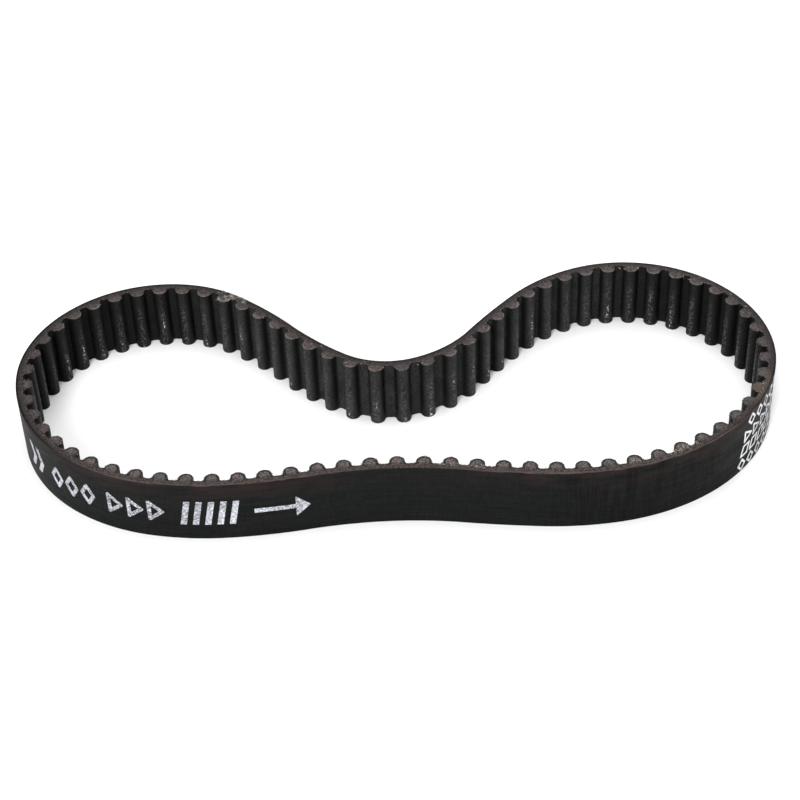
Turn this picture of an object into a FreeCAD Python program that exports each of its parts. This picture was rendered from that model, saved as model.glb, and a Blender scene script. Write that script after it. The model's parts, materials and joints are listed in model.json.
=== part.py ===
"""A timing belt of 8 mm tooth pitch, standing on its edge as a loose loop with a dented back.

The belt is laid up from four plies: a rubber backing, glass-fibre cords on the pitch line,
toothed rubber, and a nylon facing over the teeth. It bends at hinges: each station of six
teeth is rigid, and the round nose at its end turns in the socket of the next station.

All lengths are in millimetres. The loop lies in X and Y and the belt's width runs up +Z.
The origin is the centre of the loop's outline, on the surface that the lower edge rests on.
"""
import FreeCAD, Part
import math
import os

import Sketcher
from FreeCAD import Placement, Rotation, Vector

doc = FreeCAD.newDocument("timing_belt")

# Driving dimensions ---------------------------------------------------------------------

DIMENSIONS = (
    ("tooth_pitch", 8.0, "tooth to tooth, along the pitch line"),
    ("belt_width", 22.0, "edge to edge"),
    ("back_depth", 1.55, "pitch line out to the back face"),
    ("land_depth", 0.686, "pitch line in to the land between two teeth"),
    ("tip_radius", 2.4, "round of a tooth's tip"),
    ("root_radius", 0.8, "fillet between a tooth and the land"),
    ("facing_thickness", 0.2, "nylon fabric"),
    ("cord_diameter", 0.8, "one glass-fibre cord"),
    ("cord_spacing", 1.5, "cord to cord, across the width"),
    ("cord_count", 14, "turns of cord, side by side"),
    ("cord_end_gap", 0.2, "between a socket's wall and the ends of the cords"),
    ("slot_clearance", 0.01, "between a cord and each wall of its slot"),
    ("hinge_clearance", 0.05, "between a nose and its socket"),
    ("seam_gap", 0.15, "between the two faces of the open seam"),
)

# The stations, counter-clockwise from the seam in the middle of the front, each with the
# turn of the pitch line, in degrees, over its first three teeth and over its last three.
STATIONS = (
    ("front_right", -10, 4),
    ("right_sweep", 14, 20),
    ("right_corner", 22, 26),
    ("right_end", 30, 30),
    ("right_lobe", 31, 32),
    ("right_neck", 26, 7),
    ("dent", -36, -52),
    ("left_neck", -14, 12),
    ("left_lobe", 34, 32),
    ("left_end", 32, 32),
    ("left_corner", 26, 25),
    ("left_sweep", 23, 15),
    ("front_left", 8, -9),
)
TEETH_PER_RUN = 3

sizes = doc.addObject("Spreadsheet::Sheet", "sizes")
for row, (name, value, meaning) in enumerate(DIMENSIONS, start=1):
    sizes.set("A%d" % row, name)
    sizes.set("B%d" % row, str(value))
    sizes.set("C%d" % row, meaning)
    sizes.setAlias("B%d" % row, name)
doc.recompute()

BACK = -float(sizes.back_depth)
LAND = float(sizes.land_depth)
TIP = float(sizes.tip_radius)
ROOT = float(sizes.root_radius)
FACING = float(sizes.facing_thickness)
CORD = float(sizes.cord_diameter) / 2
SLOT = CORD + float(sizes.slot_clearance)
NOSE = float(sizes.back_depth)
RUN = TEETH_PER_RUN * float(sizes.tooth_pitch)
UP = Vector(0, 0, 1)

# The pitch line -------------------------------------------------------------------------


def along(heading):
    """The direction that the pitch line runs in."""
    return Vector(math.cos(heading), math.sin(heading), 0)


def inward(heading):
    """The direction from the pitch line towards the teeth."""
    return Vector(-math.sin(heading), math.cos(heading), 0)


class Run:
    """The arc of the pitch line over three teeth. Offsets from it are towards the teeth."""

    def __init__(self, start, heading, turn):
        self.heading = heading
        self.radius = RUN / turn
        self.centre = start + inward(heading) * self.radius

    def heading_at(self, distance):
        return self.heading + distance / self.radius

    def point(self, distance, offset=0.0):
        return self.centre - inward(self.heading_at(distance)) * (self.radius - offset)

    def arc(self, begin, end, offset):
        middle = self.point((begin + end) / 2, offset)
        return Part.Arc(self.point(begin, offset), middle, self.point(end, offset))


class Station:
    """Six teeth of belt, in their own frame: from the origin, where the belt runs along +X."""

    def __init__(self, name, turns, placement, is_first, is_last):
        self.name = name
        self.placement = placement
        self.has_socket = not is_first
        self.has_nose = not is_last
        self.begin = float(sizes.seam_gap) if is_first else 0.0
        first = Run(Vector(0, 0, 0), 0.0, math.radians(turns[0]))
        last = Run(first.point(RUN), first.heading_at(RUN), math.radians(turns[1]))
        self.runs = (first, last)

    def next_placement(self):
        last = self.runs[-1]
        turn = Rotation(UP, math.degrees(last.heading_at(RUN)))
        return self.placement * Placement(last.point(RUN), turn)


# Outlines -------------------------------------------------------------------------------
# An outline is a list of edges in the station's own frame, each following on from the last.


def reverse(edges):
    middles = [edge.value((edge.FirstParameter + edge.LastParameter) / 2) for edge in edges]
    turned = [Part.Arc(edge.EndPoint, middle, edge.StartPoint)
              for edge, middle in zip(edges, middles)]
    return turned[::-1]


def level_edge(station, offset):
    """The two arcs at one offset from the pitch line."""
    first, last = station.runs
    return [first.arc(station.begin, RUN, offset), last.arc(0.0, RUN, offset)]


def toothed_edge(station, depth):
    """The teeth and lands, at some depth below the surface of the facing."""
    pitch = float(sizes.tooth_pitch)
    half_tooth = TIP + ROOT
    edges = []
    for run in station.runs:
        land_start = station.begin if run is station.runs[0] else 0.0
        for number in range(TEETH_PER_RUN):
            middle = (number + 0.5) * pitch
            edges.append(run.arc(land_start, middle - half_tooth, LAND - depth))
            edges += tooth_edges(run, middle, depth)
            land_start = middle + half_tooth
        edges.append(run.arc(land_start, RUN, LAND - depth))
    return edges


def tooth_edges(run, middle, depth):
    """A tooth's two root fillets, and the round tip between them."""
    tip, root, land = TIP - depth, ROOT + depth, LAND - depth
    lean = run.heading_at(middle)
    crown = run.point(middle, land + root)
    near, far = crown - along(lean) * tip, crown + along(lean) * tip
    near_land, far_land = run.point(middle - tip - root, land), run.point(middle + tip + root, land)
    near_fillet = root_fillet(near_land, near, lean, root)
    far_fillet = root_fillet(far_land, far, lean, root)
    return [near_fillet, Part.Arc(near, crown + inward(lean) * tip, far)] + reverse([far_fillet])


def root_fillet(land_end, tip_end, lean, root):
    """A quarter round, eased where the land is bent, from the land up to the tip's round."""
    corner = tip_end - inward(lean) * root
    middle = corner + (land_end - corner + tip_end - corner) * (1 - math.sqrt(0.5))
    return Part.Arc(land_end, middle, tip_end)


def nose_edges(run, low, high):
    """The end of a ply between two offsets, rounded about the hinge's pivot."""
    heading, pivot = run.heading_at(RUN), run.point(RUN)

    def on_nose(offset):
        reach = math.sqrt(max(NOSE ** 2 - offset ** 2, 0.0))
        return pivot + inward(heading) * offset + along(heading) * reach

    chord_middle = (on_nose(low) + on_nose(high)) * 0.5
    middle = pivot + (chord_middle - pivot).normalize() * NOSE
    edges = [Part.Arc(on_nose(low), middle, on_nose(high))]
    if low > BACK:
        edges.insert(0, Part.LineSegment(run.point(RUN, low), on_nose(low)))
    edges.append(Part.LineSegment(on_nose(high), run.point(RUN, high)))
    return edges


def closed_outline(station, outer, inner, low, high, rounded):
    """An outline from a ply's outer and inner edges, which lie low and high at its ends."""
    first, last = station.runs
    if rounded:
        end = nose_edges(last, low, high)
    else:
        end = [Part.LineSegment(last.point(RUN, low), last.point(RUN, high))]
    start = Part.LineSegment(first.point(station.begin, high), first.point(station.begin, low))
    return outer + end + reverse(inner) + [start]


# Features -------------------------------------------------------------------------------


def origin_feature(body, role):
    return next(part for part in body.Origin.OriginFeatures if part.Role == role)


def new_sketch(body, name, edges):
    sketch = body.newObject("Sketcher::SketchObject", name)
    sketch.AttachmentSupport = [(origin_feature(body, "XY_Plane"), "")]
    sketch.MapMode = "FlatFace"
    sketch.addGeometry(edges, False)
    return sketch


def pad_ply(station, ply, outer, inner, low, high):
    """A body the width of the belt, with the nose and the socket of its hinges."""
    label = ply + "_" + station.name
    body = doc.addObject("PartDesign::Body", label)
    body.Label = label
    outline = closed_outline(station, outer, inner, low, high, station.has_nose)
    sketch = new_sketch(body, label + "_outline", outline)
    pad = body.newObject("PartDesign::Pad", label + "_pad")
    pad.Profile = sketch
    pad.setExpression("Length", "sizes.belt_width")
    if station.has_socket:
        cut_socket(body)
    return body


def cut_socket(body):
    """The hollow round the body's origin that the nose of the station before turns in."""
    circle = Part.Circle(Vector(0, 0, 0), UP, NOSE)
    sketch = new_sketch(body, body.Label + "_socket_circle", [circle])
    sketch.addConstraint(Sketcher.Constraint("Radius", 0, NOSE))
    sketch.setExpression("Constraints[0]", "sizes.back_depth + sizes.hinge_clearance")
    socket = body.newObject("PartDesign::Pocket", body.Label + "_socket")
    socket.Profile = sketch
    socket.Midplane = True
    socket.Type = "ThroughAll"


def cut_slots(body, station, low, high):
    """Square slots in the face on the pitch line, one for each turn of cord."""
    outer, inner = level_edge(station, low), level_edge(station, high)
    outline = closed_outline(station, outer, inner, low, high, rounded=False)
    sketch = new_sketch(body, body.Label + "_slot_outline", outline)
    sketch.setExpression("AttachmentOffset.Base.z", "(sizes.belt_width - (sizes.cord_count - 1)"
                         " * sizes.cord_spacing - sizes.cord_diameter) / 2 - sizes.slot_clearance")
    slot = body.newObject("PartDesign::Pocket", body.Label + "_slot")
    slot.Profile = sketch
    slot.Reversed = True
    slot.setExpression("Length", "sizes.cord_diameter + 2 * sizes.slot_clearance")
    slots = body.newObject("PartDesign::LinearPattern", body.Label + "_slots")
    slots.Originals = [slot]
    slots.Direction = (origin_feature(body, "Z_Axis"), [""])
    slots.setExpression("Length", "(sizes.cord_count - 1) * sizes.cord_spacing")
    slots.setExpression("Occurrences", "sizes.cord_count")
    body.Tip = slots


# Plies ----------------------------------------------------------------------------------


def make_backing(station):
    """The rubber from the back face in to the pitch line."""
    outer, inner = level_edge(station, BACK), level_edge(station, 0.0)
    body = pad_ply(station, "backing", outer, inner, BACK, 0.0)
    cut_slots(body, station, -SLOT, 0.0)
    return body


def make_teeth(station):
    """The rubber from the pitch line in to the facing, with six teeth."""
    outer, inner = level_edge(station, 0.0), toothed_edge(station, FACING)
    body = pad_ply(station, "teeth", outer, inner, 0.0, LAND - FACING)
    cut_slots(body, station, 0.0, SLOT)
    return body


def make_facing(station):
    """The nylon fabric over the teeth and the lands."""
    outer, inner = toothed_edge(station, FACING), toothed_edge(station, 0.0)
    return pad_ply(station, "facing", outer, inner, LAND - FACING, LAND)


def make_cords(station):
    """The turns of cord in their slots, which stop short of the hinge's socket."""
    first, last = station.runs
    begin = station.begin
    if station.has_socket:
        begin = NOSE + float(sizes.hinge_clearance) + float(sizes.cord_end_gap)
    both = sweep_cord(first, begin).fuse(sweep_cord(last, 0.0))
    cord = both.removeSplitter().Solids[0]
    count, spacing = int(sizes.cord_count), float(sizes.cord_spacing)
    lowest = (float(sizes.belt_width) - (count - 1) * spacing) / 2
    cords = [cord.translated(UP * (lowest + number * spacing)) for number in range(count)]
    feature = doc.addObject("Part::Feature", "cords_" + station.name)
    feature.Label = "cords_" + station.name
    feature.Shape = Part.makeCompound(cords)
    return feature


def sweep_cord(run, begin):
    """A round cord along the pitch line, from begin to the end of the run."""
    circle = Part.Circle(run.point(begin), along(run.heading_at(begin)), CORD)
    section = Part.Face(Part.Wire(circle.toShape()))
    return section.revolve(run.centre, UP, math.degrees((RUN - begin) / run.radius))


# The loop -------------------------------------------------------------------------------


def lay_out_stations():
    """The stations, one after the other, in a frame that starts at the seam."""
    found = []
    placement = Placement()
    for number, (name, *turns) in enumerate(STATIONS):
        is_last = number == len(STATIONS) - 1
        found.append(Station(name, turns, placement, number == 0, is_last))
        placement = found[-1].next_placement()
    return found


def outline_centre(stations):
    """The centre of the back face's outline."""
    outline = FreeCAD.BoundBox()
    for station in stations:
        for edge in level_edge(station, BACK):
            shape = edge.toShape()
            shape.Placement = station.placement
            outline.add(shape.BoundBox)
    return Vector(outline.Center.x, outline.Center.y, 0)


def check(nodes):
    """Stops before anything is written if a feature failed or a slot cut nothing."""
    for item in doc.Objects:
        if "Invalid" in item.State or "Error" in item.State:
            raise RuntimeError("%s failed: %s" % (item.Label, item.State))
    for node in nodes:
        if node.Shape.isNull() or not node.Shape.isValid():
            raise RuntimeError("%s has no valid shape" % node.Label)
        if node.TypeId != "PartDesign::Body" or node.Tip.TypeId != "PartDesign::LinearPattern":
            continue
        slot = node.Tip.Originals[0]
        cut = slot.BaseFeature.Shape.Volume - slot.Shape.Volume
        if node.Shape.Volume > slot.Shape.Volume - cut:
            raise RuntimeError("%s has no slots" % node.Label)


loop = lay_out_stations()
to_centre = Placement(-outline_centre(loop), Rotation())
nodes = []
for station in loop:
    for make in (make_backing, make_cords, make_teeth, make_facing):
        node = make(station)
        node.Placement = to_centre * station.placement
        nodes.append(node)
doc.recompute()
check(nodes)

os.makedirs("parts", exist_ok=True)
for node in nodes:
    node.Shape.exportStep("parts/%s.step" % node.Label)

step = loop[-1].next_placement().Base
print("%d nodes, the loop closes to within %.3f mm" % (len(nodes), step.Length))
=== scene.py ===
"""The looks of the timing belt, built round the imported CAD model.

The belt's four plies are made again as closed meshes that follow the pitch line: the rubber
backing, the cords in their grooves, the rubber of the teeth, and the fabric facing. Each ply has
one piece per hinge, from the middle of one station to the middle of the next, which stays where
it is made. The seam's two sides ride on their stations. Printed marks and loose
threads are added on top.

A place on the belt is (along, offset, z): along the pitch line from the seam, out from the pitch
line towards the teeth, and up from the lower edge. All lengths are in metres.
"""

import json
import math
import random

import bmesh
import bpy
from mathutils import Matrix, Vector, geometry

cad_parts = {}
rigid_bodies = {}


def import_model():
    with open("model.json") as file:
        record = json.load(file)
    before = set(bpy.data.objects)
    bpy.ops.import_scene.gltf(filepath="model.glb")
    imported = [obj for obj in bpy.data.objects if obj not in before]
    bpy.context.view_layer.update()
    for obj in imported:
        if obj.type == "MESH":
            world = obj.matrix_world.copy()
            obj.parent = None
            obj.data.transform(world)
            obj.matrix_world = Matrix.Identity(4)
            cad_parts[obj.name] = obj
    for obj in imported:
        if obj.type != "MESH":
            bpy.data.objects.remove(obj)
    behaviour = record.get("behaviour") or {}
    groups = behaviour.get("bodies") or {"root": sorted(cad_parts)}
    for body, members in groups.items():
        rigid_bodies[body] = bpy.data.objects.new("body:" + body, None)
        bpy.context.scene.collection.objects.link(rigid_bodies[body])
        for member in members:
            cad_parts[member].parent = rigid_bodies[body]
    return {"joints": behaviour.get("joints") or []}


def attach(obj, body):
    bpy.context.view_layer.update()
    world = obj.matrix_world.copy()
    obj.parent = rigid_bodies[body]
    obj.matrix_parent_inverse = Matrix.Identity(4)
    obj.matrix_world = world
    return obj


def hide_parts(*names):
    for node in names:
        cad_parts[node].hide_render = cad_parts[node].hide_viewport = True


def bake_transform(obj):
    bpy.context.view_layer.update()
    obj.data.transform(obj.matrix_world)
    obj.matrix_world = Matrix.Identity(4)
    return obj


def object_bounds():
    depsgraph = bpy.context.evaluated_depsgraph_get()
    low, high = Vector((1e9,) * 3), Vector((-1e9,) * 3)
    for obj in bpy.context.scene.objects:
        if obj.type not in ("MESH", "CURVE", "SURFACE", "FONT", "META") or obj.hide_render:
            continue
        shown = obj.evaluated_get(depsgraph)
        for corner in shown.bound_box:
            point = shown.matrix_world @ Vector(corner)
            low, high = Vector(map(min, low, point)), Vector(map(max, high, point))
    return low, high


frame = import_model()
cad_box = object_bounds()

# Sizes ----------------------------------------------------------------------------------

MM = 0.001
TOOTH_PITCH = 8.0 * MM
TEETH_PER_RUN = 3
RUN = TEETH_PER_RUN * TOOTH_PITCH
BELT_WIDTH = cad_box[1].z - cad_box[0].z

# The profile: the offsets of the back face and of the land between two teeth, the radii of a
# tooth's tip and of the fillets at its root, and the thickness of the fabric.
BACK = -1.55 * MM
LAND = 0.686 * MM
TIP_RADIUS = 2.4 * MM
ROOT_RADIUS = 0.8 * MM
FACING = 0.2 * MM

CORD_RADIUS = 0.4 * MM
GROOVE_RADIUS = 0.41 * MM
CORD_SPACING = 1.5 * MM
CORD_COUNT = 14
EDGE_BEVEL = 0.1 * MM

# How far to each side of a hinge Span.follow finds two points, which nothing reads; the pieces do not bend.
FLEX_REACH = 18.0 * MM

SEAM_GAP = 0.016 * MM
SEAM_LEAN = 0.2 * MM
HINGE_TOLERANCE = 0.01 * MM

# The stations, counter-clockwise from the seam, each with the turn of the pitch line, in
# degrees, over its first three teeth and over its last three.
STATIONS = (
    ("front_right", -10, 4),
    ("right_sweep", 14, 20),
    ("right_corner", 22, 26),
    ("right_end", 30, 30),
    ("right_lobe", 31, 32),
    ("right_neck", 26, 7),
    ("dent", -36, -52),
    ("left_neck", -14, 12),
    ("left_lobe", 34, 32),
    ("left_end", 32, 32),
    ("left_corner", 26, 25),
    ("left_sweep", 23, 15),
    ("front_left", 8, -9),
)
NAMES = [name for name, *_ in STATIONS]
TURNS = [math.radians(turn) for _, *turns in STATIONS for turn in turns]
LENGTH = len(TURNS) * RUN

# The pitch line -------------------------------------------------------------------------


def forward(heading):
    return Vector((math.cos(heading), math.sin(heading), 0.0))


def inward(heading):
    return Vector((-math.sin(heading), math.cos(heading), 0.0))


class Run:
    """The arc of the pitch line over three teeth."""

    def __init__(self, start, heading, turn):
        self.heading = heading
        self.radius = RUN / turn
        self.centre = start + inward(heading) * self.radius

    def heading_at(self, distance):
        return self.heading + distance / self.radius

    def point(self, distance, offset=0.0):
        return self.centre - inward(self.heading_at(distance)) * (self.radius - offset)

    def place(self, point):
        """The distance along the run and the offset of a point."""
        reach = math.copysign((self.centre - point).length, self.radius)
        across = (self.centre - point) / reach
        turned = math.atan2(-across.x, across.y) - self.heading
        turned = (turned + math.pi) % math.tau - math.pi
        return turned * self.radius, self.radius - reach


def hinge_between(*stations):
    """Where the frame has the hinge between two stations, on the floor."""
    joint = next(joint for joint in frame["joints"] if {joint["parent"], joint["child"]} == set(stations))
    return Vector((*joint["pos_m"][:2], 0.0))


def lay_out_runs():
    """The runs of the loop, placed so that the first hinge is where the frame has it."""
    first = Run(Vector((0, 0, 0)), 0.0, TURNS[0])
    second = Run(first.point(RUN), first.heading_at(RUN), TURNS[1])
    start, heading = hinge_between(*NAMES[:2]) - second.point(RUN), 0.0
    found = []
    for turn in TURNS:
        found.append(Run(start, heading, turn))
        start, heading = found[-1].point(RUN), found[-1].heading_at(RUN)
    for number in range(1, len(NAMES)):
        miss = found[2 * number].point(0.0) - hinge_between(*NAMES[number - 1:number + 1])
        if miss.length > HINGE_TOLERANCE:
            raise RuntimeError("the pitch line misses the hinge before " + NAMES[number])
    close_seam(found)
    return found


def close_seam(runs):
    """Shifts the runs a little each, so that the loop closes but for the seam's gap.

    The gap is there because the two ends work against each other as the belt flexes.
    """
    gap = runs[0].point(0.0) - runs[-1].point(RUN) - forward(runs[0].heading) * SEAM_GAP
    for number, run in enumerate(runs):
        run.centre += gap * ((number + 0.5) / len(runs) - 0.5)


RUNS = lay_out_runs()


def run_number(along):
    """The number of the run that holds a place along the belt."""
    return min(max(int(along // RUN), 0), len(RUNS) - 1)


def belt_point(along, offset, z):
    """Where a place on the belt is in space."""
    number = run_number(along)
    return RUNS[number].point(along - number * RUN, offset) + Vector((0.0, 0.0, z))


def at_pitch_line(along):
    """A place along the belt, moved on a little if it is at the seam.

    That makes the seam's gap a shallow V, which no light comes straight through.
    """
    near_seam = min(along, LENGTH - along) < SEAM_LEAN
    return along + SEAM_LEAN if near_seam else along


def span_at(along):
    """The span that holds a place along the belt."""
    return next(span for span in SPANS if run_number(along) in span.numbers)


# Spans ----------------------------------------------------------------------------------


class Span:
    """The runs that one piece of each ply covers: the two beside a hinge, or one beside the seam."""

    def __init__(self, numbers):
        self.numbers = numbers
        self.stations = sorted({NAMES[number // 2] for number in numbers}, key=NAMES.index)
        self.name = "_to_".join(self.stations) if len(numbers) > 1 else self.stations[0] + "_at_seam"

    def follow(self, piece):
        """Makes a piece move with the span's station if it has just one; a piece over two stations only has
        its transform applied.
        """
        if len(self.stations) == 1:
            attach(piece, self.stations[0])
            return
        start = RUNS[self.numbers[0]].point(RUN - FLEX_REACH)
        end = RUNS[self.numbers[1]].point(FLEX_REACH)
        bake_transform(piece)


def lay_out_spans():
    last = len(RUNS) - 1
    pairs = [Span((number, number + 1)) for number in range(1, last, 2)]
    return [Span((0,)), *pairs, Span((last,))]


SPANS = lay_out_spans()

# Meshes ---------------------------------------------------------------------------------


class Shell:
    """A mesh under construction, whose points carry their place on the belt.

    With a label, each point carries one more value, which the material can read by that name.
    """

    def __init__(self, label=None):
        self.points, self.places, self.faces = [], [], []
        self.label, self.values = label, []

    def add_point(self, point, along, z, offset, value=0.0):
        self.points.append((point.x, point.y, z))
        self.places.append((along, z, offset))
        self.values.append(value)
        return len(self.points) - 1

    def add_tube(self, rings):
        """Faces between one ring of points and the next, and over both ends."""
        for ring, following in zip(rings, rings[1:]):
            for side in range(len(ring)):
                near = ring[side - 1], ring[side]
                far = following[side], following[side - 1]
                self.faces.append((*near, *far))
        self.faces.append(tuple(reversed(rings[0])))
        self.faces.append(tuple(rings[-1]))

    def make(self, name, material):
        mesh = bpy.data.meshes.new(name)
        mesh.from_pydata(self.points, [], self.faces)
        if self.label:
            values = mesh.attributes.new(self.label, "FLOAT", "POINT")
            values.data.foreach_set("value", self.values)
        piece = add_piece(mesh, self.places, material)
        tidy_mesh(mesh)
        return piece


def add_piece(mesh, places, material):
    """Puts a mesh in the scene, with each point's place on the belt as an attribute."""
    attribute = mesh.attributes.new("place", "FLOAT_VECTOR", "POINT")
    attribute.data.foreach_set("vector", [value for place in places for value in place])
    mesh.materials.append(material)
    piece = bpy.data.objects.new(mesh.name, mesh)
    bpy.context.scene.collection.objects.link(piece)
    return piece


SHARP_ANGLE = math.radians(40)


def tidy_mesh(mesh):
    """Splits the end caps into triangles, faces everything outward and smooths what is round."""
    work = bmesh.new()
    work.from_mesh(mesh)
    caps = [face for face in work.faces if len(face.verts) > 4]
    bmesh.ops.triangulate(work, faces=caps)
    bmesh.ops.recalc_face_normals(work, faces=work.faces)
    work.to_mesh(mesh)
    work.free()
    mesh.shade_smooth()
    mesh.set_sharp_from_angle(angle=SHARP_ANGLE)


# Plies ----------------------------------------------------------------------------------

STEPS_PER_RUN = 36
LAND_STEPS = 2
ROOT_STEPS = 5
TIP_STEPS = 14
GROOVE_STEPS = 3


def cord_z(number):
    """The height of a cord's middle."""
    return (BELT_WIDTH - (CORD_COUNT - 1) * CORD_SPACING) / 2 + number * CORD_SPACING


def grooved_side(toward_teeth):
    """(offset, z) up the pitch line's face of a ply, with half a round groove for each cord.

    The grooves go in towards the teeth if toward_teeth is 1, or towards the back if it is -1.
    """
    found = [(0.0, 0.0)]
    for number in range(CORD_COUNT):
        for step in range(GROOVE_STEPS + 1):
            angle = math.pi * step / GROOVE_STEPS
            depth = GROOVE_RADIUS * math.sin(angle)
            found.append((toward_teeth * depth, cord_z(number) - GROOVE_RADIUS * math.cos(angle)))
    return found + [(0.0, BELT_WIDTH)]


def make_backing(span):
    """The rubber outside the pitch line, flat at the back and grooved inside."""
    inner = grooved_side(-1)
    outer = [(BACK + EDGE_BEVEL, BELT_WIDTH), (BACK, BELT_WIDTH - EDGE_BEVEL)]
    outer += [(BACK, EDGE_BEVEL), (BACK + EDGE_BEVEL, 0.0)]
    shell = Shell()
    rings = []
    for step in range(len(span.numbers) * STEPS_PER_RUN + 1):
        along = span.numbers[0] * RUN + RUN * step / STEPS_PER_RUN
        below = at_pitch_line(along)
        ring = [shell.add_point(belt_point(below, offset, z), below, z, offset) for offset, z in inner]
        ring += [shell.add_point(belt_point(along, offset, z), along, z, offset) for offset, z in outer]
        rings.append(ring)
    shell.add_tube(rings)
    return shell


def toothed_line(number, depth):
    """The toothed surface over one run at some depth below the fabric's face, as points.

    Each is (point, along, offset, teeth), where teeth counts them along the fabric itself.
    """
    run = RUNS[number]
    tip, root, land = TIP_RADIUS - depth, ROOT_RADIUS + depth, LAND - depth
    half_valley = TOOTH_PITCH / 2 - tip - root
    steps = [half_valley * step / LAND_STEPS for step in range(LAND_STEPS + 1)]
    found = []
    for tooth in range(TEETH_PER_RUN):
        middle = (tooth + 0.5) * TOOTH_PITCH
        line = [run.point(tooth * TOOTH_PITCH + step, land) for step in steps[:-1]]
        line += over_tooth(run, middle, tip, root, land)
        line += [run.point(middle + tip + root + step, land) for step in steps[1:]]
        labelled = label_points(number, tooth, line)
        found += labelled[1:] if found else labelled
    return found


def over_tooth(run, middle, tip, root, land):
    """From the land up one root fillet, round the tip and down the other fillet."""
    lean = run.heading_at(middle)
    crown = run.point(middle, land + root)
    ahead, up = forward(lean), inward(lean)
    near, far = [], []
    for step in range(ROOT_STEPS + 1):
        angle = math.pi / 2 * step / ROOT_STEPS
        aside = tip + root * (1 - math.sin(angle))
        height = -root * math.cos(angle)
        share = 1 - step / ROOT_STEPS
        for side, points in ((-1, near), (1, far)):
            quarter = crown + ahead * side * aside + up * height
            level = crown + ahead * side * (tip + root) - up * root
            eased = run.point(middle + side * (tip + root), land) - level
            points.append(quarter + eased * share)
    top = []
    for step in range(1, TIP_STEPS):
        angle = math.pi * step / TIP_STEPS
        top.append(crown - ahead * tip * math.cos(angle) + up * tip * math.sin(angle))
    return near + top + far[::-1]


def label_points(number, tooth, line):
    """Adds to each point its place on the belt and its share of the way over the tooth."""
    lengths = [0.0]
    for before, after in zip(line, line[1:]):
        lengths.append(lengths[-1] + (after - before).length)
    found = []
    for point, length in zip(line, lengths):
        distance, offset = RUNS[number].place(point)
        teeth = number * TEETH_PER_RUN + tooth + length / lengths[-1]
        found.append((point, number * RUN + distance, offset, teeth))
    return found


def toothed_line_of(span, depth):
    """The toothed surface over a whole span, with each point only once."""
    found = []
    for number in span.numbers:
        line = toothed_line(number, depth)
        found += line[1:] if found else line
    return found


def make_teeth(span):
    """The rubber inside the pitch line, with its teeth."""
    shell = Shell()
    rings = []
    for point, along, offset, teeth in toothed_line_of(span, FACING):
        below = at_pitch_line(teeth * TOOTH_PITCH)
        ring = [shell.add_point(belt_point(below, groove, z), below, z, groove)
                for groove, z in grooved_side(1)]
        ring += [shell.add_point(point, along, z, offset) for z in (BELT_WIDTH, 0.0)]
        rings.append(ring)
    shell.add_tube(rings)
    return shell


FACING_LEVELS = 6


def make_facing(span):
    """The fabric over the teeth and the lands."""
    shell = Shell("cloth")
    rings = []
    levels = [EDGE_BEVEL + (BELT_WIDTH - 2 * EDGE_BEVEL) * level / FACING_LEVELS
              for level in range(FACING_LEVELS, -1, -1)]
    bonded, faced = toothed_line_of(span, FACING), toothed_line_of(span, 0.0)
    for back, (point, along, offset, teeth) in zip(bonded, faced):
        bevel = point.lerp(back[0], EDGE_BEVEL / FACING)
        ring = [shell.add_point(back[0], along, z, back[2], teeth) for z in (0.0, BELT_WIDTH)]
        ring.append(shell.add_point(bevel, along, BELT_WIDTH, offset, teeth))
        ring += [shell.add_point(point, along, z, offset, teeth) for z in levels]
        ring.append(shell.add_point(bevel, along, 0.0, offset, teeth))
        rings.append(ring)
    shell.add_tube(rings)
    return shell


CORD_SIDES = 10
CORD_STEPS_PER_RUN = 24
STRANDS = 3
STRAND_RELIEF = 0.07
TWIST_LENGTH = 6.0 * MM


def make_cords(span):
    """The cords side by side, each of three twisted strands, S and Z by turns."""
    shell = Shell()
    steps = len(span.numbers) * CORD_STEPS_PER_RUN
    for cord in range(CORD_COUNT):
        hand = 1 if cord % 2 else -1
        rings = []
        for step in range(steps + 1):
            along = at_pitch_line(span.numbers[0] * RUN + RUN * step / CORD_STEPS_PER_RUN)
            twist = hand * math.tau * along / TWIST_LENGTH
            ring = []
            for side in range(CORD_SIDES):
                angle = math.tau * side / CORD_SIDES
                lobe = math.cos(STRANDS * angle - twist)
                radius = CORD_RADIUS * (1 - STRAND_RELIEF + STRAND_RELIEF * lobe)
                offset = radius * math.cos(angle)
                z = cord_z(cord) + radius * math.sin(angle)
                ring.append(shell.add_point(belt_point(along, offset, z), along, z, offset))
            rings.append(ring)
        shell.add_tube(rings)
    return shell


# Print ----------------------------------------------------------------------------------
# A mark is a list of shapes about its own middle, x along the belt and y up. A shape is an
# outline, followed by the outline of its hole if it has one.

INK_PROUD = 0.03 * MM
INK_DEEP = 0.02 * MM
INK_STEP = 0.8 * MM
CORNER_STEPS = 4


def corners_of(outline):
    """Each corner of an outline, and the directions to the corners before and after it."""
    points = [Vector(point) for point in outline]
    for number, corner in enumerate(points):
        before = (points[number - 1] - corner).normalized()
        after = (points[(number + 1) % len(points)] - corner).normalized()
        yield corner, before, after


def rounded(outline, radius):
    """An outline with each corner turned into an arc."""
    found = []
    for corner, before, after in corners_of(outline):
        half = before.angle(after) / 2
        centre = corner + (before + after).normalized() * radius / math.sin(half)
        start = corner + before * radius / math.tan(half) - centre
        end = corner + after * radius / math.tan(half) - centre
        for step in range(CORNER_STEPS + 1):
            spoke = start.lerp(end, step / CORNER_STEPS)
            found.append(centre + spoke.normalized() * radius)
    return found


def inset(outline, distance):
    """A convex outline moved in by a distance."""
    found = []
    for corner, before, after in corners_of(outline):
        half = before.angle(after) / 2
        found.append(corner + (before + after).normalized() * distance / math.sin(half))
    return found


def hollow(outline, stroke):
    """A mark of one shape with a hole. Its corners are rounder outside than inside."""
    return [[rounded(outline, stroke * 0.45), rounded(inset(outline, stroke), stroke * 0.15)]]


def solid(outline, radius):
    """A mark of one shape with no hole."""
    return [[rounded(outline, radius)]]


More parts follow.
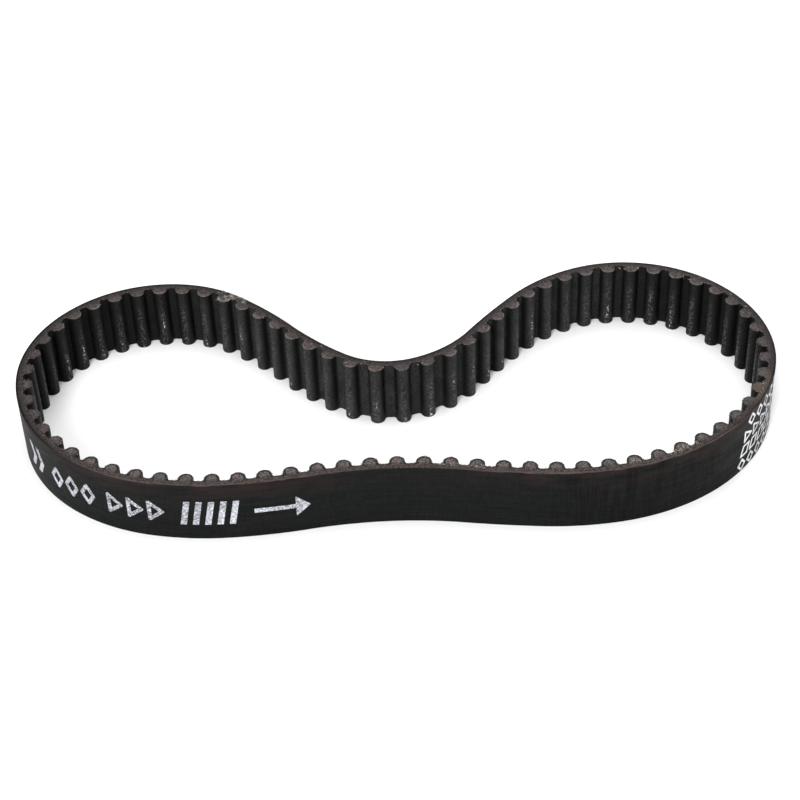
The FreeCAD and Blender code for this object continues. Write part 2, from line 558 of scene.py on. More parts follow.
def row_of(mark, count, pitch):
    """The same mark several times, side by side."""
    shifts = [Vector(((number - (count - 1) / 2) * pitch, 0.0)) for number in range(count)]
    return [[[point + shift for point in outline] for outline in shape]
            for shift in shifts for shape in mark]


def diamond(width, height):
    return [(width / 2, 0), (0, height / 2), (-width / 2, 0), (0, -height / 2)]


def pointer(width, height):
    """A triangle that points along the belt."""
    return [(width / 2, 0), (-width / 2, height / 2), (-width / 2, -height / 2)]


def slant(width, height, stroke):
    """A bar that leans forward."""
    lean = width - stroke
    return [(lean / 2 + stroke / 2, height / 2), (lean / 2 - stroke / 2, height / 2),
            (-lean / 2 - stroke / 2, -height / 2), (-lean / 2 + stroke / 2, -height / 2)]


def chevron(width, height, stroke):
    """An open arrow head that points along the belt."""
    nose = width / 2
    return [(nose, 0), (nose - width + stroke, height / 2), (-width / 2, height / 2),
            (nose - stroke, 0), (-width / 2, -height / 2), (nose - width + stroke, -height / 2)]


def arrow(length, height, stroke):
    neck = length / 2 - height * 0.55
    return [(length / 2, 0), (neck, height / 2), (neck, stroke / 2), (-length / 2, stroke / 2),
            (-length / 2, -stroke / 2), (neck, -stroke / 2), (neck, -height / 2)]


class Print:
    """All the marks whose middles are on one span, as thin plates of ink on the back face."""

    def __init__(self, span):
        self.span = span
        self.work = bmesh.new()

    def add_mark(self, mark, along, z):
        for shape in mark:
            self.add_shape([[Vector((along + point.x, z + point.y, 0.0)) for point in outline]
                            for outline in shape])

    def add_shape(self, outlines):
        points = [point for outline in outlines for point in outline]
        made = bmesh.new()
        verts = [made.verts.new(point) for point in points]
        for triangle in geometry.tessellate_polygon(outlines):
            made.faces.new([verts[index] for index in triangle])
        self.slice_up(made, points)
        self.thicken(made)
        scrap = bpy.data.meshes.new("mark")
        made.to_mesh(scrap)
        made.free()
        self.work.from_mesh(scrap)
        bpy.data.meshes.remove(scrap)

    def slice_up(self, made, points):
        """Cuts a shape across every so often, so that it can follow the belt's curve."""
        first = min(point.x for point in points)
        count = int((max(point.x for point in points) - first) / INK_STEP)
        for number in range(1, count + 1):
            cut = (first + number * INK_STEP, 0.0, 0.0)
            bmesh.ops.bisect_plane(made, geom=made.verts[:] + made.edges[:] + made.faces[:],
                                   plane_co=cut, plane_no=(1, 0, 0))

    def thicken(self, made):
        """Adds the face that is sunk into the rubber, and the walls. Depth is kept in z."""
        extruded = bmesh.ops.extrude_face_region(made, geom=made.faces[:])["geom"]
        for vert in made.verts:
            vert.co.z = -INK_PROUD
        for item in extruded:
            if isinstance(item, bmesh.types.BMVert):
                item.co.z = INK_DEEP

    def make(self, prefix, material):
        mesh = bpy.data.meshes.new(prefix + self.span.name)
        places = [(vert.co.x, vert.co.y, BACK + vert.co.z) for vert in self.work.verts]
        for vert, (along, z, offset) in zip(self.work.verts, places):
            vert.co = belt_point(along, offset, z)
        bmesh.ops.recalc_face_normals(self.work, faces=self.work.faces)
        self.work.to_mesh(mesh)
        self.work.free()
        self.span.follow(add_piece(mesh, places, material))


MARK_HEIGHT = 9.4 * MM
MARK_STROKE = 1.25 * MM
MARK_Z = 10.6 * MM
GROUP_GAP = 4.2 * MM
MARKS_END = 23.0 * MM


def large_marks():
    """The groups of large marks, as (mark, width), from left to right."""
    height, stroke = MARK_HEIGHT, MARK_STROKE
    head = solid(chevron(4.6 * MM, height, 2.1 * MM), 0.12 * MM)
    gem = hollow(diamond(5.8 * MM, height), stroke)
    flag = hollow(pointer(5.6 * MM, height), stroke)
    bar = solid(slant(3.6 * MM, height, 1.5 * stroke), 0.15 * MM)
    direction = solid(arrow(17.0 * MM, height * 0.86, stroke * 1.3), 0.15 * MM)
    return (
        (row_of(head, 2, 4.6 * MM), 9.2 * MM),
        (row_of(gem, 3, 6.4 * MM), 18.6 * MM),
        (row_of(flag, 3, 6.5 * MM), 18.6 * MM),
        (row_of(bar, 5, 3.7 * MM), 18.4 * MM),
        (direction, 17.0 * MM),
    )


def add_large_marks(prints):
    """Groups of large marks that end a little before the seam."""
    groups = large_marks()
    widths = sum(width for _, width in groups)
    cursor = LENGTH - MARKS_END - widths - (len(groups) - 1) * GROUP_GAP
    for mark, width in groups:
        middle = cursor + width / 2
        for shape in mark:
            centre = middle + sum(point.x for point in shape[0]) / len(shape[0])
            prints[span_at(centre)].add_mark([shape], middle, MARK_Z)
        cursor += width + GROUP_GAP


# The stamps: each row starts a share of the pitch after the row below it.
STAMP_START = 116.5 * MM
STAMP_PITCH = 4.9 * MM
STAMP_COLUMNS = 7
STAMP_SIZE = 5.2 * MM
STAMP_STROKE = 0.75 * MM
STAMP_STAGGER = 0.25


def add_stamps(prints):
    """Rows of small marks across the whole width of the belt."""
    size, stroke = STAMP_SIZE, STAMP_STROKE
    gem = hollow(diamond(size * 0.85, size), stroke)
    flag = hollow(pointer(size * 0.9, size), stroke)
    block = hollow(slant(size, size * 0.85, size * 0.75), stroke)
    rows = (gem, block, flag, gem)
    for row, mark in enumerate(rows):
        for column in range(STAMP_COLUMNS):
            along = STAMP_START + STAMP_PITCH * (column + STAMP_STAGGER * row)
            z = BELT_WIDTH * (row + 0.5) / len(rows)
            prints[span_at(along)].add_mark(mark, along, z)


# Loose fibres ---------------------------------------------------------------------------

FIBRE_SIDES = 5
FIBRE_STEPS = 5
STUBS_PER_TOOTH = 28

# How far a fibre turns along its length at most, and how far round half a wave it rises and
# falls, in radians. How much thinner it is at its end. Then ranges in millimetres: thickness,
# the length and the height of a stub, and the height of a frayed thread.
FIBRE_BEND = 1.6
FIBRE_ARCH = 0.8 * math.pi
FIBRE_TAPER = 0.7
FIBRE_THICKNESS = (0.08, 0.20)
STUB_LENGTH = (0.3, 0.7)
STUB_RISE = (0.0, 0.15)
FRAY_RISE = (0.05, 0.35)
FIBRE_SEED = 7


def add_fibre(shell, chance, along, offset, length, rise, shade):
    """A thread that starts in the top edge, bends over and tapers."""
    heading = chance.uniform(0, math.tau)
    bend = chance.uniform(-FIBRE_BEND, FIBRE_BEND)
    thickness = chance.uniform(*FIBRE_THICKNESS) * MM
    rings = []
    for step in range(FIBRE_STEPS + 1):
        share = step / FIBRE_STEPS
        turn = heading + bend * share
        place = Vector((along + length * share * math.cos(turn), offset + length * share * math.sin(turn)))
        z = BELT_WIDTH - thickness / 2 + rise * math.sin(FIBRE_ARCH * share)
        radius = thickness / 2 * (1 - FIBRE_TAPER * share)
        side_way = Vector((-math.sin(turn), math.cos(turn)))
        ring = []
        for side in range(FIBRE_SIDES):
            angle = math.tau * side / FIBRE_SIDES
            spot = place + side_way * radius * math.cos(angle)
            height = z + radius * math.sin(angle)
            point = belt_point(spot.x, spot.y, height)
            ring.append(shell.add_point(point, spot.x, height, spot.y, shade))
        rings.append(ring)
    shell.add_tube(rings)


# (middle along the belt, spread, middle offset, spread, how many, length) of each frayed place.
FRAYED = (
    (386.0 * MM, 5.5 * MM, -0.5 * MM, 1.0 * MM, 60, 1.1 * MM),
    (388.0 * MM, 2.4 * MM, 2.2 * MM, 1.1 * MM, 26, 1.0 * MM),
    (386.0 * MM, 6.0 * MM, -1.45 * MM, 0.10 * MM, 24, 0.8 * MM),
    (24.0 * MM, 7.0 * MM, 0.45 * MM, 0.45 * MM, 46, 0.75 * MM),
    (92.0 * MM, 6.0 * MM, 0.75 * MM, 0.25 * MM, 26, 1.6 * MM),
    (74.0 * MM, 4.0 * MM, 0.8 * MM, 0.3 * MM, 10, 1.2 * MM),
    (133.0 * MM, 3.5 * MM, 0.6 * MM, 0.9 * MM, 9, 0.6 * MM),
    (205.0 * MM, 30.0 * MM, 1.0 * MM, 1.6 * MM, 12, 0.9 * MM),
    (330.0 * MM, 25.0 * MM, 1.0 * MM, 1.6 * MM, 10, 0.9 * MM),
)


def add_frayed_places(shells, chance):
    for along, spread, offset, aside, count, length in FRAYED:
        for _ in range(count):
            start = along + chance.uniform(-spread, spread)
            add_fibre(shells[span_at(start)], chance, start, offset + chance.uniform(-aside, aside),
                      length * chance.uniform(0.6, 1.3), chance.uniform(*FRAY_RISE) * MM,
                      chance.uniform(0.35, 1.0))


def add_stubs(shell, chance, span):
    """The cut ends of the fabric's threads, which stand out all along its top edge."""
    line = toothed_line_of(span, FACING / 2)
    for _ in range(len(span.numbers) * TEETH_PER_RUN * STUBS_PER_TOOTH):
        number = chance.randrange(len(line) - 1)
        share = chance.random()
        (_, along, offset, _), (_, next_along, next_offset, _) = line[number], line[number + 1]
        add_fibre(shell, chance, along + (next_along - along) * share,
                  offset + (next_offset - offset) * share, chance.uniform(*STUB_LENGTH) * MM,
                  chance.uniform(*STUB_RISE) * MM, chance.uniform(0.0, 0.7) ** 3)


def make_fibres(material):
    """The frayed top edge, as one piece for each span."""
    chance = random.Random(FIBRE_SEED)
    shells = {span: Shell("shade") for span in SPANS}
    add_frayed_places(shells, chance)
    for span, shell in shells.items():
        add_stubs(shell, chance, span)
        piece = shell.make("loose_fibres_" + span.name, material)
        span.follow(piece)


# Materials ------------------------------------------------------------------------------
# Stretches along the belt that look different, as (start, end, how far it fades past each end).

HANDLED_RIGHT = (42 * MM, 122 * MM, 22 * MM)
HANDLED_LEFT = (540 * MM, 602 * MM, 20 * MM)
RIBBED = (60 * MM, 112 * MM, 18 * MM)
TANNED = (128 * MM, 137 * MM, 5 * MM)
FAR_SIDE = (130 * MM, 500 * MM, 40 * MM)
FURTHEST = (185 * MM, 435 * MM, 30 * MM)
DENT_LIGHT_STRETCH = (250 * MM, 372 * MM, 45 * MM)
# Painted light: round the dent the facing keeps its lit colour; elsewhere it is painted darker as shade.
WORN_PRINT = (536 * MM, 556 * MM, 5 * MM)


class Graph:
    """A material under construction. Each function adds a node and returns its output."""

    def __init__(self, name):
        self.material = bpy.data.materials.new(name)
        self.material.use_nodes = True
        self.tree = self.material.node_tree
        self.shader = self.tree.nodes["Principled BSDF"]
        self.round = None

    def node(self, kind, inputs=(), output=0, **settings):
        made = self.tree.nodes.new("ShaderNode" + kind)
        for name, value in settings.items():
            setattr(made, name, value)
        for key, value in dict(inputs).items():
            self.connect(value, made.inputs[key])
        return made.outputs[output]

    def connect(self, value, socket):
        if isinstance(value, bpy.types.NodeSocket):
            self.tree.links.new(value, socket)
        else:
            socket.default_value = value

    def math(self, operation, *values):
        return self.node("Math", enumerate(values), operation=operation)

    def fade(self, value, low, high, to_low=0.0, to_high=1.0):
        """A smooth step from to_low to to_high as value goes from low to high."""
        inputs = {"Value": value, "From Min": low, "From Max": high, "To Min": to_low, "To Max": to_high}
        return self.node("MapRange", inputs, interpolation_type="SMOOTHSTEP")

    def times(self, *values):
        """The product of all the values."""
        product, *others = values
        for value in others:
            product = self.math("MULTIPLY", product, value)
        return product

    def stretch(self, start, end, soft):
        """1 along a stretch of the belt, fading to 0 over a soft distance past each end."""
        rise = self.fade(self.place(0), start - soft, start)
        fall = self.fade(self.place(0), end, end + soft, 1.0, 0.0)
        return self.times(rise, fall)

    def blend(self, share, first, second):
        """The first colour, turning into the second by share."""
        colours = [(*colour, 1.0) if isinstance(colour, tuple) else colour for colour in (first, second)]
        return self.node("Mix", {0: share, 6: colours[0], 7: colours[1]}, output=2, data_type="RGBA")

    def tint(self, colour, factor):
        """A colour with each channel multiplied by a factor."""
        inputs = {0: 1.0, 6: colour, 7: (*factor, 1.0)}
        return self.node("Mix", inputs, output=2, data_type="RGBA", blend_type="MULTIPLY")

    def place(self, axis):
        """Where the surface is along the belt (0), up the belt (1) or in from the pitch line (2)."""
        vector = self.node("Attribute", output="Vector", attribute_name="place")
        return self.node("SeparateXYZ", {0: vector}, output=axis)

    def grain(self, length, width, detail=3.0, roughness=0.6):
        """Noise whose spots are so long along the belt and so wide across it. It has no seam."""
        if self.round is None:
            angle = self.times(self.place(0), math.tau / LENGTH)
            girth = self.math("ADD", self.place(1), self.place(2))
            self.round = self.math("COSINE", angle), self.math("SINE", angle), girth
        ahead, aside, girth = self.round
        reach = LENGTH / math.tau / length
        vector = self.node("CombineXYZ", {
            0: self.times(ahead, reach),
            1: self.times(aside, reach),
            2: self.times(girth, 1 / width),
        })
        inputs = {"Vector": vector, "Scale": 1.0, "Detail": detail, "Roughness": roughness}
        return self.node("TexNoise", inputs, output="Fac")

    def cut_mask(self):
        """1 where the surface is an edge that the belt was cut along, level with the floor."""
        normal = self.node("NewGeometry", output="True Normal")
        upward = self.math("ABSOLUTE", self.node("SeparateXYZ", {0: normal}, output=2))
        return self.fade(upward, 0.5, 0.9)

    def bump(self, height, distance):
        return self.node("Bump", {"Height": height, "Distance": distance, "Strength": 1.0})

    def finish(self, colour, roughness, normal, specular=0.5):
        self.connect(colour, self.shader.inputs["Base Color"])
        self.connect(roughness, self.shader.inputs["Roughness"])
        self.connect(normal, self.shader.inputs["Normal"])
        self.shader.inputs["Specular IOR Level"].default_value = specular
        return self.material


def handled_part(graph):
    """1 along the front right and the front left, where handling has worn the belt and where a painted
    highlight lines the outer top edge.
    """
    right = graph.stretch(*HANDLED_RIGHT)
    left = graph.stretch(*HANDLED_LEFT)
    return graph.math("MAXIMUM", right, left)


def fabric_rim(graph):
    """1 in the dark, ragged rim that the fabric leaves round the end of each tooth."""
    share = graph.math("FRACT", graph.times(graph.place(0), 1 / TOOTH_PITCH))
    aside = graph.times(graph.math("SUBTRACT", share, 0.5), TOOTH_PITCH)
    above = graph.math("SUBTRACT", graph.place(2), LAND + ROOT_RADIUS)
    corner = graph.node("CombineXYZ", {0: aside, 1: graph.math("MAXIMUM", above, 0.0)})
    reach = graph.node("VectorMath", {0: corner}, output="Value", operation="LENGTH")
    ragged = graph.fade(graph.grain(0.7 * MM, 0.7 * MM), 0.3, 0.7, -0.3 * MM, 0.3 * MM)
    reach = graph.math("ADD", reach, ragged)
    rim = graph.fade(reach, TIP_RADIUS - 0.95 * MM, TIP_RADIUS - 0.6 * MM)
    above_band = graph.fade(graph.place(2), LAND - 0.65 * MM, LAND - 0.4 * MM)
    return graph.times(rim, above_band)


def pale_tips(graph):
    """1 round the tips of the furthest teeth, where the cut end of the fabric is pale in places."""
    furthest = graph.stretch(*FURTHEST)
    tip = graph.fade(graph.place(2), LAND + 1.0 * MM, LAND + 2.4 * MM)
    uneven = graph.fade(graph.grain(2.5 * MM, 2.5 * MM), 0.36, 0.60, 0.1, 1.0)
    return graph.times(furthest, tip, uneven)


def scratches(graph):
    """1 in a few long, curved hairlines: the contours of a slow noise, broken up by another."""
    slow = graph.grain(30 * MM, 7 * MM, detail=1.0)
    line = graph.fade(graph.math("ABSOLUTE", graph.math("SUBTRACT", slow, 0.47)), 0.002, 0.006, 1.0, 0.0)
    broken = graph.fade(graph.grain(12 * MM, 5 * MM, detail=1.0), 0.48, 0.58, 0.0, 0.8)
    return graph.times(line, broken)


def rubber_back_colour(graph):
    """Near-black rubber, greenish with brown patches, streaked along the belt."""
    patches = graph.fade(graph.grain(18 * MM, 9 * MM), 0.42, 0.62)
    colour = graph.blend(patches, (0.0034, 0.0056, 0.0049), (0.0068, 0.0056, 0.0054))
    streaks = graph.fade(graph.grain(26 * MM, 0.45 * MM, detail=5.0), 0.36, 0.66)
    colour = graph.blend(graph.times(streaks, 0.6), colour, (0.0125, 0.0150, 0.0142))
    dark = graph.fade(graph.grain(9 * MM, 0.7 * MM, detail=4.0), 0.56, 0.70)
    colour = graph.blend(graph.times(dark, 0.7), colour, (0.0030, 0.0032, 0.0032))
    for length, width in ((0.7 * MM, 0.6 * MM), (0.5 * MM, 4.0 * MM)):
        grain = graph.fade(graph.grain(length, width, detail=4.0), 0.40, 0.60, 0.0, 0.5)
        colour = graph.blend(grain, colour, (0.0028, 0.0030, 0.0030))
    colour = graph.blend(scratches(graph), colour, (0.0018, 0.0019, 0.0019))
    ribbed = graph.fade(graph.grain(0.8 * MM, 12 * MM, detail=2.0), 0.42, 0.60)
    ribbed = graph.times(ribbed, graph.stretch(*RIBBED), 0.75)
    colour = graph.blend(ribbed, colour, (0.0016, 0.0014, 0.0014))
    high = graph.fade(graph.place(1), BELT_WIDTH - 10.0 * MM, BELT_WIDTH - 0.5 * MM)
    uneven = graph.fade(graph.grain(14 * MM, 4 * MM), 0.35, 0.6)
    brown = graph.math("MULTIPLY_ADD", handled_part(graph), 0.45, 0.15)
    colour = graph.blend(graph.times(high, uneven, brown), colour, (0.0230, 0.0135, 0.0132))
    # Painted highlight with wear: a light line along the top edge of the back face where the belt is
    # handled.
    rim = graph.fade(graph.place(1), BELT_WIDTH - 0.45 * MM, BELT_WIDTH - 0.2 * MM)
    chafed_and_highlit = graph.fade(graph.grain(7 * MM, 2 * MM, detail=4.0), 0.40, 0.62, 0.0, 0.8)
    return graph.blend(graph.times(rim, handled_part(graph), chafed_and_highlit), colour, (0.070, 0.052, 0.048))


def cut_colour(graph):
    """Rubber where the belt was cut: brown-grey and mottled, paler on the teeth, with flecks."""
    toothward = graph.fade(graph.place(2), LAND - 0.4 * MM, LAND + 1.0 * MM)
    mottle = graph.fade(graph.grain(0.8 * MM, 0.6 * MM, detail=5.0), 0.38, 0.62)
    band = graph.blend(mottle, (0.015, 0.0122, 0.0118), (0.058, 0.047, 0.044))
    ends = graph.blend(mottle, (0.024, 0.021, 0.020), (0.105, 0.093, 0.088))
    colour = graph.blend(toothward, band, ends)
    patches = graph.fade(graph.grain(11 * MM, 11 * MM), 0.38, 0.66)
    colour = graph.blend(graph.times(patches, 0.4), colour, (0.034, 0.033, 0.031))
    flecks = graph.fade(graph.grain(0.5 * MM, 0.35 * MM, detail=3.0), 0.62, 0.70)
    flecks = graph.times(flecks, graph.fade(toothward, 0.0, 1.0, 0.25, 1.0))
    colour = graph.blend(flecks, colour, (0.22, 0.205, 0.19))
    far = graph.stretch(*FAR_SIDE)
    rim = graph.times(fabric_rim(graph), graph.fade(far, 0.0, 1.0, 0.92, 0.25))
    colour = graph.blend(rim, colour, (0.0040, 0.0036, 0.0035))
    pale = graph.times(fabric_rim(graph), pale_tips(graph), 0.6)
    colour = graph.blend(pale, colour, (0.185, 0.155, 0.145))
    colour = graph.blend(far, graph.tint(colour, (1.20, 1.12, 1.10)), graph.tint(colour, (0.70, 0.63, 0.64)))
    tanned = graph.times(graph.stretch(*TANNED), 0.5)
    colour = graph.blend(tanned, colour, (0.080, 0.062, 0.042))
    # Darker along the outer half millimetre of the cut, on the far side.
    dark_outer_band = graph.fade(graph.place(2), BACK + 0.5 * MM, BACK + 0.95 * MM, 1.0, 0.0)
    colour = graph.blend(graph.times(dark_outer_band, far), colour, (0.0062, 0.0060, 0.0062))
    # Painted highlight with wear: a light line at the outer edge of the cut where the belt is handled.
    chafed_and_highlit = graph.fade(graph.place(2), BACK + 0.2 * MM, BACK + 0.4 * MM, 1.0, 0.0)
    broken = graph.fade(graph.grain(9 * MM, 3 * MM, detail=4.0), 0.36, 0.58, 0.15, 0.9)
    return graph.blend(graph.times(chafed_and_highlit, handled_part(graph), broken), colour, (0.080, 0.064, 0.060))


def cut_height(graph):
    """The drag marks and pits of the cut."""
    marks = graph.grain(0.25 * MM, 2.5 * MM, detail=4.0)
    pits = graph.grain(0.4 * MM, 0.4 * MM, detail=3.0)
    return graph.math("ADD", marks, pits)


RIB_PITCH = 0.8 * MM


def backing_material():
    """Ground rubber with a fine grain along the belt, and cut edges."""
    graph = Graph("backing_rubber")
    cut = graph.cut_mask()
    colour = graph.blend(cut, rubber_back_colour(graph), cut_colour(graph))
    grind = graph.grain(12 * MM, 0.16 * MM, detail=5.0)
    ribs = graph.math("SINE", graph.times(graph.place(0), math.tau / RIB_PITCH))
    rib_patches = graph.fade(graph.grain(30 * MM, 16 * MM, detail=1.0), 0.48, 0.62, 0.0, 0.12)
    height = graph.math("ADD", grind, graph.times(ribs, rib_patches))
    face = graph.bump(height, 0.05 * MM)
    edge = graph.bump(cut_height(graph), 0.1 * MM)
    normal = graph.node("Mix", {0: cut, 4: face, 5: edge}, output=1, data_type="VECTOR")
    roughness = graph.fade(graph.grain(8 * MM, 1 * MM), 0.3, 0.7, 0.50, 0.66)
    return graph.finish(colour, roughness, normal, specular=0.07)


def teeth_material():
    """Moulded rubber, seen only where it is cut."""
    graph = Graph("tooth_rubber")
    normal = graph.bump(cut_height(graph), 0.1 * MM)
    roughness = graph.fade(graph.grain(1 * MM, 1 * MM), 0.3, 0.7, 0.55, 0.80)
    return graph.finish(cut_colour(graph), roughness, normal, specular=0.2)


THREADS_PER_TOOTH = 24
THREAD_WIDTH = 0.48 * MM
TWILL_REPEAT = 4


def weave_height(graph):
    """A twill of nylon thread: two over, two under, a step along at each row."""
    cloth = graph.node("Attribute", output="Fac", attribute_name="cloth")
    warp = graph.times(cloth, THREADS_PER_TOOTH)
    weft = graph.times(graph.place(1), 1 / THREAD_WIDTH)
    step = graph.math("ADD", graph.math("FLOOR", warp), graph.math("FLOOR", weft))
    over = graph.math("GREATER_THAN", graph.math("FRACT", graph.times(step, 1 / TWILL_REPEAT)), 0.4)
    crowns = [graph.math("ABSOLUTE", graph.math("SINE", graph.times(threads, math.pi)))
              for threads in (warp, weft)]
    return graph.node("Mix", {0: over, 2: crowns[0], 3: crowns[1]}, output=0, data_type="FLOAT")


def worn_crest_glints(graph, from_crest):
    """1 in the bright specks along the crests of some teeth, in the lower half of the belt: painted glints,
    a painted highlight on worn spots.
    """
    crest = graph.fade(from_crest, 0.01, 0.06, 1.0, 0.0)
    specks = graph.fade(graph.grain(0.5 * MM, 0.9 * MM, detail=1.0), 0.58, 0.66)
    where = graph.fade(graph.grain(11 * MM, 9 * MM, detail=1.0), 0.53, 0.63)
    low = graph.fade(graph.place(1), 0.35 * BELT_WIDTH, 0.75 * BELT_WIDTH, 1.0, 0.0)
    return graph.times(specks, crest, where, low)


def crest_highlight_and_rubbing(graph, from_crest):
    """1 where the crests are painted lighter grey, thread by thread, mostly in the lower half of the belt: a
    painted highlight, partly rubbing.
    """
    crest = graph.fade(from_crest, 0.03, 0.13, 1.0, 0.0)
    threads = graph.fade(graph.grain(0.6 * MM, 0.7 * MM, detail=3.0), 0.48, 0.62)
    low = graph.fade(graph.place(1), 0.5 * BELT_WIDTH, 0.9 * BELT_WIDTH, 0.75, 0.15)
    return graph.times(threads, crest, low)


def facing_material():
    """Dark nylon fabric, with painted shade on the flanks of the teeth and painted highlights and
    glints, partly wear, along some crests.

    It is painted lighter along the dent and darker elsewhere, as painted light and shade.
    """
    graph = Graph("facing_fabric")
    weave = weave_height(graph)
    tone = graph.fade(graph.grain(5 * MM, 7 * MM), 0.3, 0.7)
    colour = graph.blend(tone, (0.0245, 0.0265, 0.0250), (0.0445, 0.0465, 0.0445))
    # Painted light and shade: full colour along the dent, about a quarter of it elsewhere.
    painted_dent_light = graph.stretch(*DENT_LIGHT_STRETCH)
    colour = graph.blend(painted_dent_light, graph.tint(colour, (0.26, 0.24, 0.25)), colour)
    share = graph.math("FRACT", graph.node("Attribute", output="Fac", attribute_name="cloth"))
    from_crest = graph.math("ABSOLUTE", graph.math("SUBTRACT", share, 0.5))
    flank = graph.math("ABSOLUTE", graph.math("SUBTRACT", from_crest, 0.26))
    # Painted shade: the flanks and root fillets of the teeth are darkened where shade falls between them.
    painted_flank_shade = graph.fade(flank, 0.02, 0.17, 0.9, 0.0)
    colour = graph.blend(painted_flank_shade, colour, (0.0022, 0.0022, 0.0022))
    grain = graph.fade(graph.grain(0.7 * MM, 0.7 * MM, detail=4.0), 0.38, 0.62, 0.0, 0.55)
    colour = graph.blend(grain, colour, (0.0070, 0.0074, 0.0072))
    gaps = graph.fade(weave, 0.0, 0.6, 0.8, 0.0)
    colour = graph.blend(gaps, colour, (0.002, 0.002, 0.002))
    # Painted highlight, partly rubbing: a lighter grey band along the crests.
    colour = graph.blend(crest_highlight_and_rubbing(graph, from_crest), colour, (0.090, 0.093, 0.090))
    # Painted highlight: white glints on worn spots along the crests.
    colour = graph.blend(worn_crest_glints(graph, from_crest), colour, (0.60, 0.61, 0.60))
    frayed = graph.fade(graph.grain(0.6 * MM, 0.5 * MM, detail=3.0), 0.53, 0.64)
    hem = graph.blend(frayed, (0.0070, 0.0063, 0.0060), (0.26, 0.235, 0.22))
    hem = graph.blend(graph.times(pale_tips(graph), 0.7), hem, (0.24, 0.20, 0.19))
    colour = graph.blend(graph.cut_mask(), colour, hem)
    fuzz = graph.grain(0.12 * MM, 0.3 * MM, detail=2.0)
    normal = graph.bump(graph.math("ADD", weave, graph.times(fuzz, 0.5)), 0.08 * MM)
    roughness = graph.fade(graph.grain(3 * MM, 3 * MM), 0.3, 0.7, 0.40, 0.55)
    return graph.finish(colour, roughness, normal, specular=0.07)


def cord_material():
    """Glass-fibre yarn in a tan dip."""
    graph = Graph("tensile_cord")
    fibres = graph.grain(1.5 * MM, 0.05 * MM, detail=2.0)
    colour = graph.blend(fibres, (0.42, 0.36, 0.24), (0.72, 0.68, 0.56))
    return graph.finish(colour, graph.fade(fibres, 0.2, 0.8, 0.35, 0.55), graph.bump(fibres, 0.03 * MM))


def ink_material(name, dull, bright, worn_stretch=None):
    """Patchy ink, worn through to the rubber along one stretch if that is given."""
    graph = Graph(name)
    flecks = graph.fade(graph.grain(0.8 * MM, 0.6 * MM, detail=5.0, roughness=0.7), 0.43, 0.54)
    heavy = graph.fade(graph.grain(16 * MM, 10 * MM, detail=1.0), 0.38, 0.58, 0.35, 1.0)
    if worn_stretch:
        worn = graph.stretch(*worn_stretch)
        heavy = graph.times(heavy, graph.fade(worn, 0.0, 1.0, 1.0, 0.25))
    kept = graph.math("MAXIMUM", flecks, heavy)
    tone = graph.grain(0.6 * MM, 0.5 * MM, detail=5.0)
    ink = graph.blend(graph.fade(tone, 0.40, 0.60), dull, bright)
    colour = graph.blend(kept, rubber_back_colour(graph), ink)
    normal = graph.bump(graph.math("ADD", tone, kept), 0.02 * MM)
    return graph.finish(colour, 0.55, normal, specular=0.4)


def fibre_material():
    """Ends of nylon and glass, from dirty to pale tan."""
    graph = Graph("frayed_fibre")
    shade = graph.node("Attribute", output="Fac", attribute_name="shade")
    colour = graph.blend(shade, (0.018, 0.015, 0.013), (0.52, 0.475, 0.41))
    tone = graph.grain(0.4 * MM, 0.3 * MM, detail=2.0)
    return graph.finish(colour, 0.6, graph.bump(tone, 0.02 * MM))


# The belt -------------------------------------------------------------------------------


def make_plies():
    """Every ply of every span, in place of the CAD model's plies."""
    plies = (
        ("backing", make_backing, backing_material(), "backing_rubber"),
        ("cords", make_cords, cord_material(), "tensile_cord"),
        ("teeth", make_teeth, teeth_material(), "tooth_rubber"),
        ("facing", make_facing, facing_material(), "facing_fabric"),
    )
    for ply, make, material, slot in plies:
        for span in SPANS:
            piece = make(span).make(ply + "_" + span.name, material)
            span.follow(piece)
            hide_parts(*[ply + "_" + station for station in span.stations])


def make_prints():
    """The large marks at the front left and the small ones at the right end, each in their ink."""
    silver = ink_material("silver_ink", (0.24, 0.25, 0.28), (0.62, 0.63, 0.69), WORN_PRINT)
    white = ink_material("white_ink", (0.60, 0.61, 0.63), (0.86, 0.86, 0.87))
    for prefix, add_marks, ink in (("print_", add_large_marks, silver), ("stamps_", add_stamps, white)):
        prints = {span: Print(span) for span in SPANS}
        add_marks(prints)
        for marks in prints.values():
            if marks.work.faces:
                marks.make(prefix, ink)
            else:
                marks.work.free()


make_plies()
make_prints()
make_fibres(fibre_material())

# Stage ----------------------------------------------------------------------------------

SENSOR_WIDTH = 36.0
CAMERA_LENS = 88.84
CAMERA_DISTANCE = 650.6 * MM
CAMERA_ELEVATION = math.radians(40.31)
CAMERA_HEADING = math.radians(0.518)
CAMERA_ROLL = math.radians(-2.35)
CAMERA_TARGET = Vector((1.04, 11.23, 0.0)) * MM
NEAREST_SEEN = 10.0 * MM
FLOOR_REACH = 6.0
FLOOR_WHITE = 0.93
SKY_STRENGTH = 0.6

# The lamps as (name, place, side, power), each square and aimed at the origin.
LAMPS = (
    ("key", (-0.43, -1.18, 0.985), 0.5, 18.0),
    ("top", (0.0, 0.1, 1.5), 1.2, 13.0),
    ("back", (0.5, 1.2, 0.8), 0.6, 7.0),
)


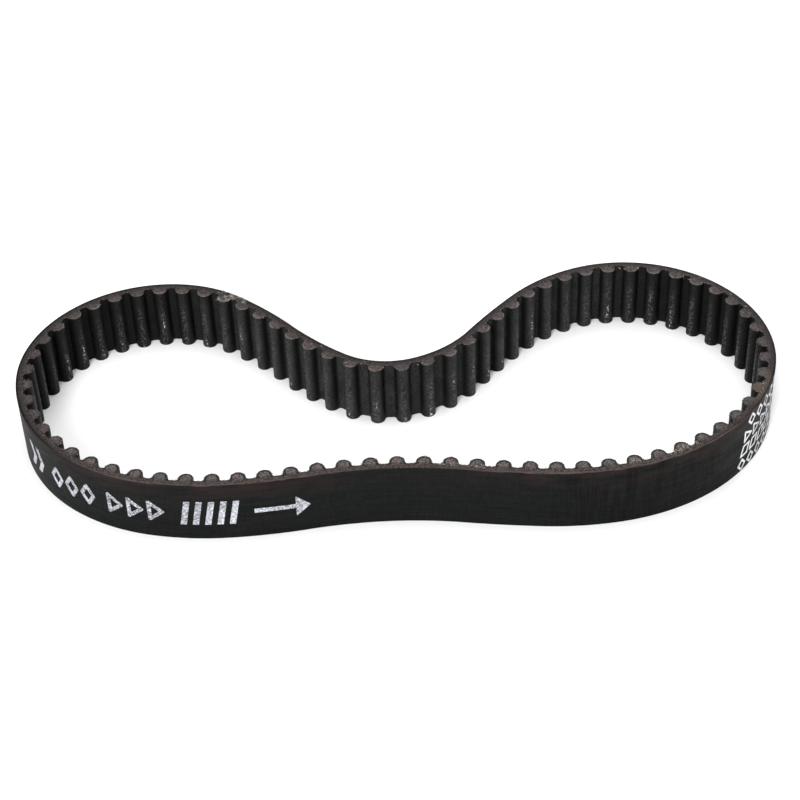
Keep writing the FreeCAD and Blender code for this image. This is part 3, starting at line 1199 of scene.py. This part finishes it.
def add_camera():
    """A long lens that looks down on the belt from the front, rolled a little."""
    ahead = Vector((math.sin(CAMERA_HEADING), math.cos(CAMERA_HEADING), 0))
    view = ahead * math.cos(CAMERA_ELEVATION) - Vector((0, 0, math.sin(CAMERA_ELEVATION)))
    right = ahead.cross(Vector((0, 0, 1)))
    up = right.cross(view)
    rolled_right = right * math.cos(CAMERA_ROLL) + up * math.sin(CAMERA_ROLL)
    rolled_up = up * math.cos(CAMERA_ROLL) - right * math.sin(CAMERA_ROLL)
    data = bpy.data.cameras.new("camera")
    data.sensor_width = SENSOR_WIDTH
    data.lens = CAMERA_LENS
    data.clip_start = NEAREST_SEEN
    camera = bpy.data.objects.new("camera", data)
    matrix = Matrix((rolled_right, rolled_up, -view)).transposed().to_4x4()
    matrix.translation = CAMERA_TARGET - view * CAMERA_DISTANCE
    camera.matrix_world = matrix
    bpy.context.scene.collection.objects.link(camera)
    bpy.context.scene.camera = camera


def add_floor():
    mesh = bpy.data.meshes.new("floor")
    corners = [(x * FLOOR_REACH, y * FLOOR_REACH, 0) for x, y in ((-1, -1), (1, -1), (1, 1), (-1, 1))]
    mesh.from_pydata(corners, [], [(0, 1, 2, 3)])
    floor = bpy.data.objects.new("floor", mesh)
    bpy.context.scene.collection.objects.link(floor)
    material = bpy.data.materials.new("floor")
    material.use_nodes = True
    shader = material.node_tree.nodes["Principled BSDF"]
    shader.inputs["Base Color"].default_value = (FLOOR_WHITE, FLOOR_WHITE, FLOOR_WHITE, 1)
    shader.inputs["Roughness"].default_value = 0.9
    mesh.materials.append(material)


def add_lamp(name, place, side, power):
    data = bpy.data.lights.new(name, "AREA")
    data.shape = "SQUARE"
    data.size = side
    data.energy = power
    light = bpy.data.objects.new(name, data)
    light.location = place
    light.rotation_euler = (-Vector(place)).to_track_quat("-Z", "Y").to_euler()
    bpy.context.scene.collection.objects.link(light)


def add_lights():
    """An even white sky and three soft lamps."""
    world = bpy.data.worlds.new("world")
    world.use_nodes = True
    background = world.node_tree.nodes["Background"]
    background.inputs["Color"].default_value = (1, 1, 1, 1)
    background.inputs["Strength"].default_value = SKY_STRENGTH
    bpy.context.scene.world = world
    for lamp in LAMPS:
        add_lamp(*lamp)


add_camera()
add_floor()
add_lights()
bpy.context.scene.view_settings.view_transform = "Standard"
